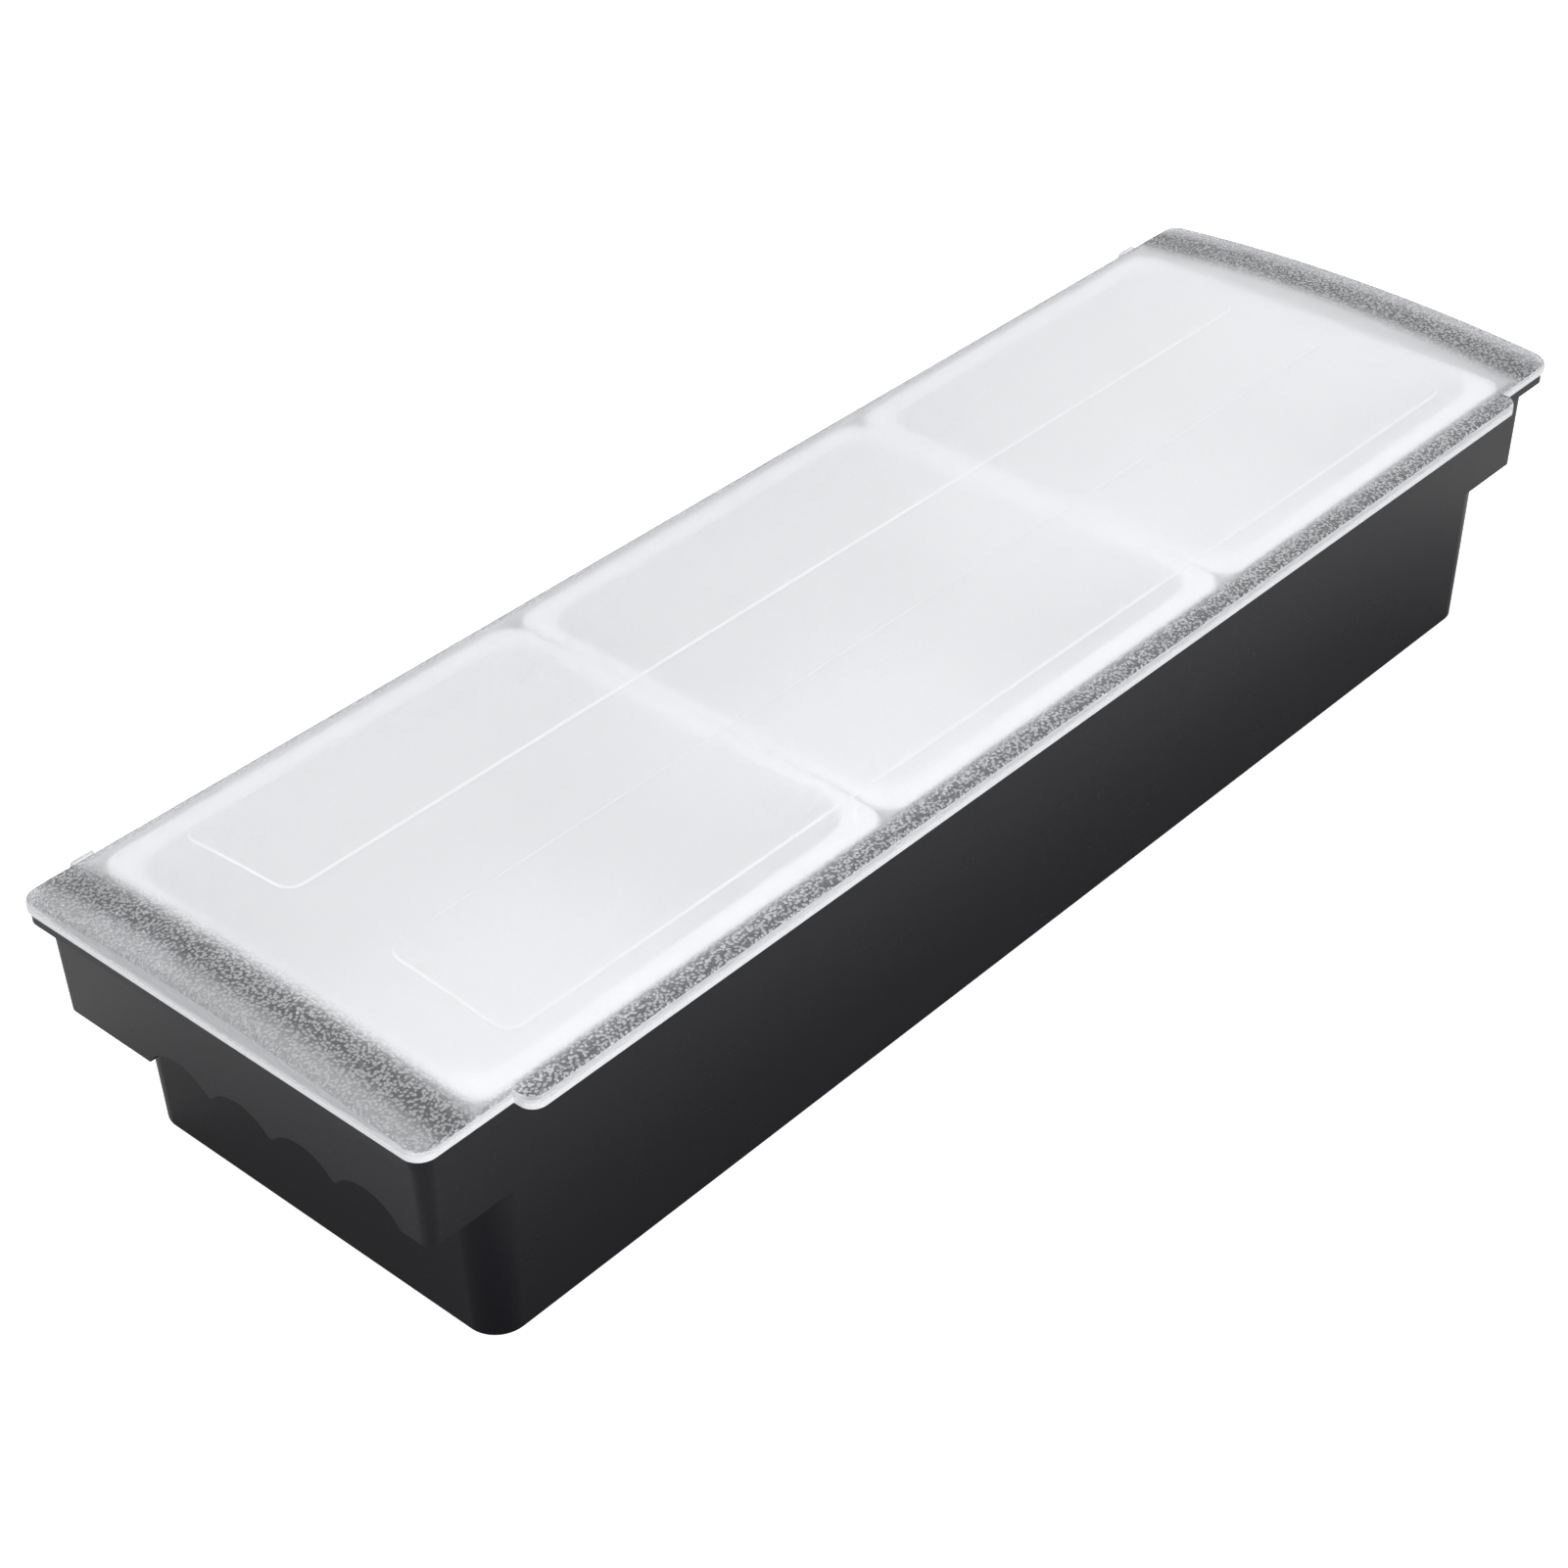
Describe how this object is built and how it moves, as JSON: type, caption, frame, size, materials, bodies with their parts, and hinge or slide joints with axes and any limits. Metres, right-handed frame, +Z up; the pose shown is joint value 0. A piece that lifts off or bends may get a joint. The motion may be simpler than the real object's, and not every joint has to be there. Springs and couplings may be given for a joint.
{
  "type": "bar garnish tray",
  "caption": "Long covered bar garnish tray: black tub with scalloped end grips, lift-out inserts over an ice well, and a frosted hinged lid.",
  "frame": {"origin": "middle of the whole part's box on the surface it stands on, at z = 0", "axes": "+X along the length towards the right end seen from the front, +Y towards the hinged back edge, +Z up; the finger lip of the lid is on the -Y side"},
  "size_m": [0.495, 0.1606, 0.0915],
  "materials": {
    "black_plastic": "satin black moulded plastic",
    "frosted_plastic": "clear plastic with a fine pebbled frost on top and smooth bright edges",
    "white_plastic": "satin white moulded plastic",
    "pin_steel": "plain drawn wire"
  },
  "bodies": {
    "base": {"base": "black_plastic", "insert_left": "white_plastic", "insert_middle": "white_plastic", "insert_right": "white_plastic", "hinge_pin_left": "pin_steel", "hinge_pin_right": "pin_steel"},
    "lid": {"lid": "frosted_plastic"}
  },
  "joints": [
    {"name": "lid_hinge", "type": "hinge", "parent": "base", "child": "lid", "pos_m": [0, 0.07677, 0.0815], "axis": [-1, 0, 0], "range_deg": [0, 110]}
  ]
}
